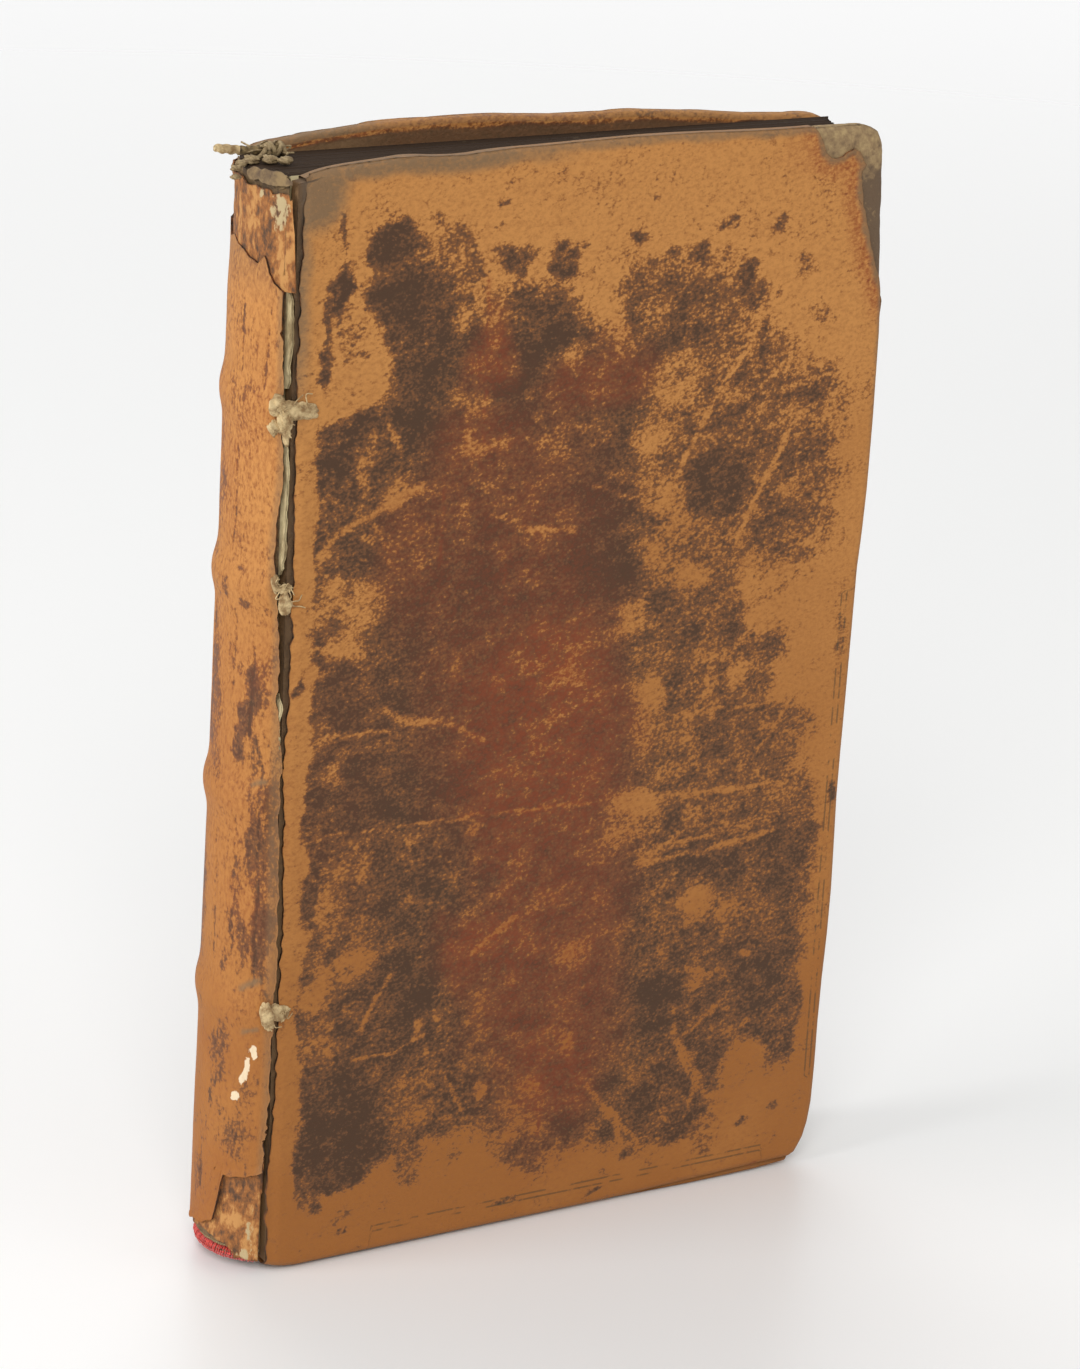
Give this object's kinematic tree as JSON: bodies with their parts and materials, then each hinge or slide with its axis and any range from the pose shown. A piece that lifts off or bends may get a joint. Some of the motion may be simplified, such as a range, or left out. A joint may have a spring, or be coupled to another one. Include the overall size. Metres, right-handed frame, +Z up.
{
  "type": "antique leather book",
  "caption": "Small hand-bound book in worn calf over boards, standing closed on its tail; both covers swing open on their joints, spine has raised bands and cracked leather.",
  "frame": {"origin": "middle of the whole book's box, at the height of the surface that it stands on", "axes": "+X from the spine to the fore edge, +Y from the front cover to the back cover, +Z up from tail to head"},
  "size_m": [0.105, 0.0204, 0.1716],
  "materials": {
    "calf": "satin",
    "pages": "matte",
    "pasteboard": "matte",
    "laid_paper": "matte",
    "hemp_cord": "matte",
    "linen_thread": "matte",
    "red_silk": "satin"
  },
  "bodies": {
    "text_block": {"text_block": "pages", "spine_leather": "calf", "head_cap_leather": "calf", "joint_paper_lower": "laid_paper", "joint_paper_upper": "laid_paper", "joint_paper_head": "laid_paper", "spine_lining_tail": "laid_paper", "spine_lining_lower": "laid_paper", "spine_lining_middle": "laid_paper", "spine_lining_upper": "laid_paper", "spine_lining_head": "laid_paper", "sewing_cord_1": "hemp_cord", "sewing_cord_2": "hemp_cord", "sewing_cord_3": "hemp_cord", "sewing_cord_4": "hemp_cord", "sewing_thread_1": "linen_thread", "sewing_thread_2": "linen_thread", "sewing_thread_3": "linen_thread", "sewing_thread_4": "linen_thread", "tail_endband_core": "hemp_cord", "tail_endband_silk": "red_silk", "head_endband_core": "hemp_cord", "head_endband_thread": "linen_thread"},
    "front_cover": {"front_board": "pasteboard", "front_leather": "calf", "front_pastedown": "laid_paper", "front_cord_slip_1": "hemp_cord", "front_cord_slip_2": "hemp_cord", "front_cord_slip_3": "hemp_cord", "front_cord_slip_4": "hemp_cord"},
    "back_cover": {"back_board": "pasteboard", "back_leather": "calf", "back_pastedown": "laid_paper", "back_cord_slip_1": "hemp_cord", "back_cord_slip_2": "hemp_cord", "back_cord_slip_3": "hemp_cord", "back_cord_slip_4": "hemp_cord"}
  },
  "joints": [
    {"name": "front_joint", "type": "hinge", "parent": "text_block", "child": "front_cover", "pos_m": [-0.04549, -0.01025, 0.085], "axis": [0, 0, -1], "range_deg": [0, 170]},
    {"name": "back_joint", "type": "hinge", "parent": "text_block", "child": "back_cover", "pos_m": [-0.04549, 0.01025, 0.085], "axis": [0, 0, 1], "range_deg": [0, 170]}
  ]
}
